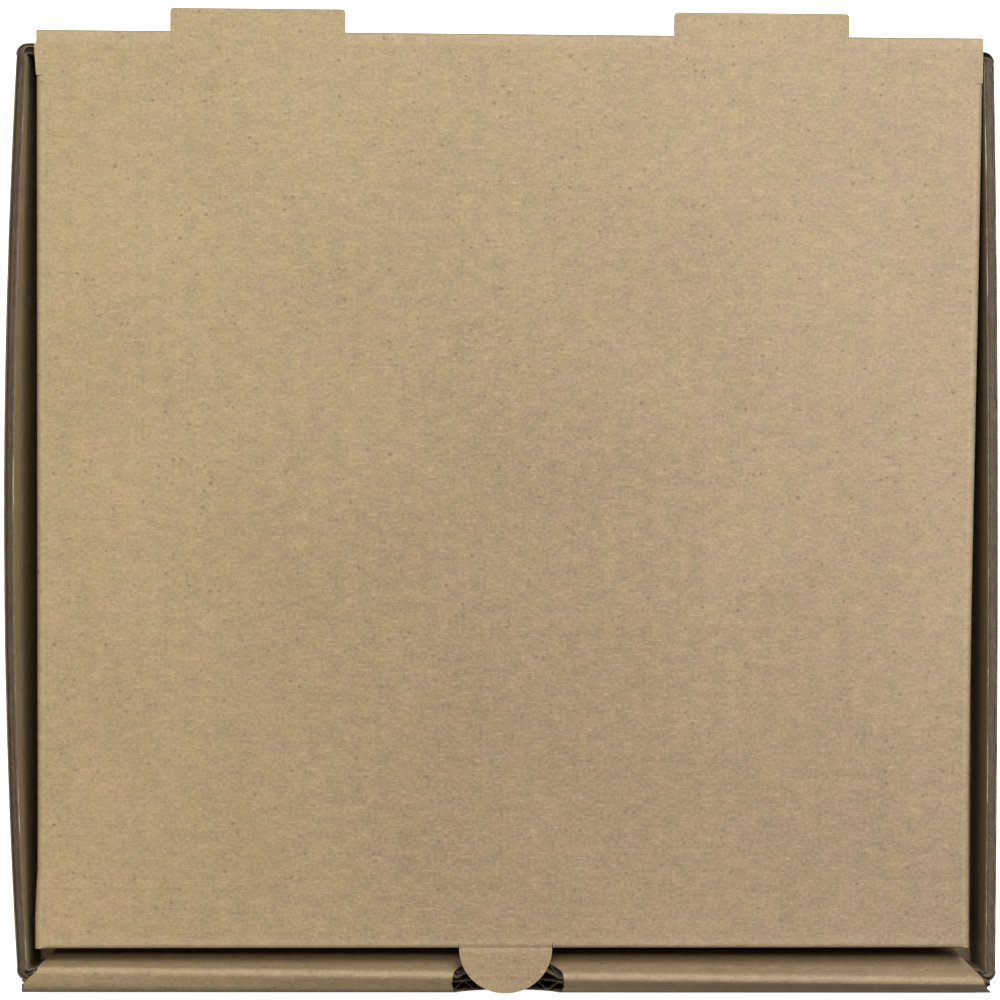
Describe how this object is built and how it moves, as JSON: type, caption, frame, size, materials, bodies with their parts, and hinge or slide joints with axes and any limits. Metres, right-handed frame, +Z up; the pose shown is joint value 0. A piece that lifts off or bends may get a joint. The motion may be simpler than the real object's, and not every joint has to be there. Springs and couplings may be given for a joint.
{
  "type": "pizza box",
  "caption": "Square kraft corrugated pizza box, folded from one sheet, with a rear-hinged lid, a thumb tab and a rolled-over front wall.",
  "frame": {"origin": "centre of the base's underside, which the box stands on", "axes": "+Z up through the lid, +Y towards the hinge, -Y towards the thumb tab, +X to the right of someone facing the thumb tab"},
  "size_m": [0.2609, 0.2584, 0.0445],
  "materials": {
    "kraft_board": "matt brown kraft liner with fine fibre flecks"
  },
  "bodies": {
    "tray": {"tray": "kraft_board"},
    "lid": {"lid": "kraft_board"}
  },
  "joints": [
    {"name": "lid_hinge", "type": "hinge", "parent": "tray", "child": "lid", "pos_m": [0, 0.1258, 0.0445], "axis": [-1, 0, 0], "range_deg": [0, 180]}
  ]
}
